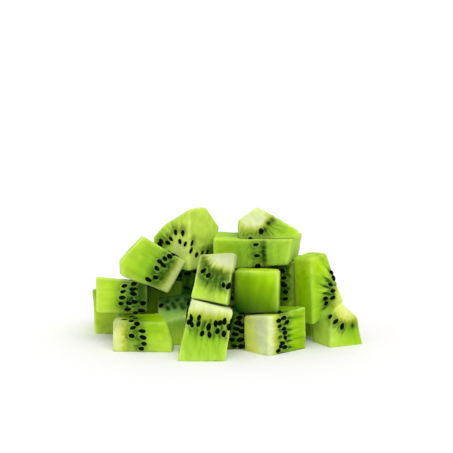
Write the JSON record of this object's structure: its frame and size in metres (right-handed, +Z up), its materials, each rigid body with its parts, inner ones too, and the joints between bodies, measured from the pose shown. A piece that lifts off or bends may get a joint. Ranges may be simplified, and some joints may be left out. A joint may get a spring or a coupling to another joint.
{
  "type": "heap of diced kiwi fruit",
  "caption": "Loose heap of peeled green kiwi fruit cut into uneven dice, showing pale core, black seeds and flesh, resting flat.",
  "frame": {"origin": "centre of the heap's bounding box, on the surface it rests on", "axes": "+X to the right of the shown side, +Y away from the shown side, +Z up"},
  "size_m": [0.0706, 0.0582, 0.0356],
  "materials": {
    "flesh": "moist cut kiwi flesh, green with a paler core, lightly glossy"
  },
  "bodies": {
    "root": {"kiwi_heap": "flesh"}
  },
  "joints": []
}
